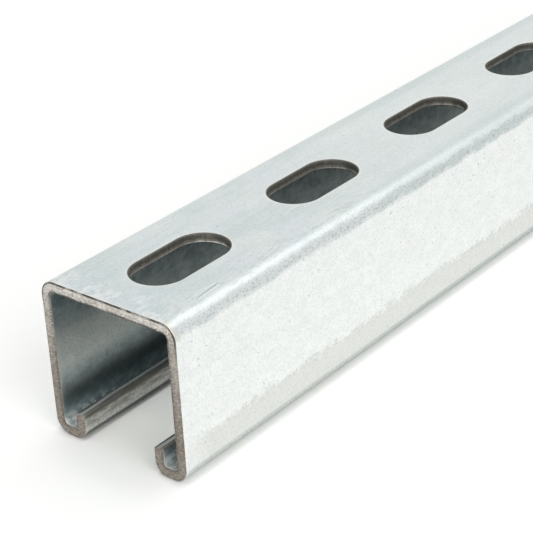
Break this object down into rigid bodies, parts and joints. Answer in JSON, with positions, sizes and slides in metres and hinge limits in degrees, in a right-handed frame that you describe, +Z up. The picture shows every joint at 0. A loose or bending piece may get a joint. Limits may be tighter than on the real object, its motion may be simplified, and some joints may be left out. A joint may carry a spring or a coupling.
{
  "type": "slotted strut channel",
  "caption": "Straight C-shaped steel framing channel with in-turned lips along its open side and round-ended slots punched along its back.",
  "frame": {"origin": "on the floor, midway between the two lips and midway along the length", "axes": "+X across the channel, +Y along it, away from the front cut end, +Z up from the lips to the slotted back"},
  "size_m": [0.0412, 0.3048, 0.0413],
  "materials": {
    "galvanised_steel": "mill-galvanised strip: pale grey dull zinc with faint lengthwise rolling marks and fine pits; bare grey-brown steel on the cut ends, slot walls and slit edges"
  },
  "bodies": {
    "root": {"strut_channel": "galvanised_steel"}
  },
  "joints": []
}
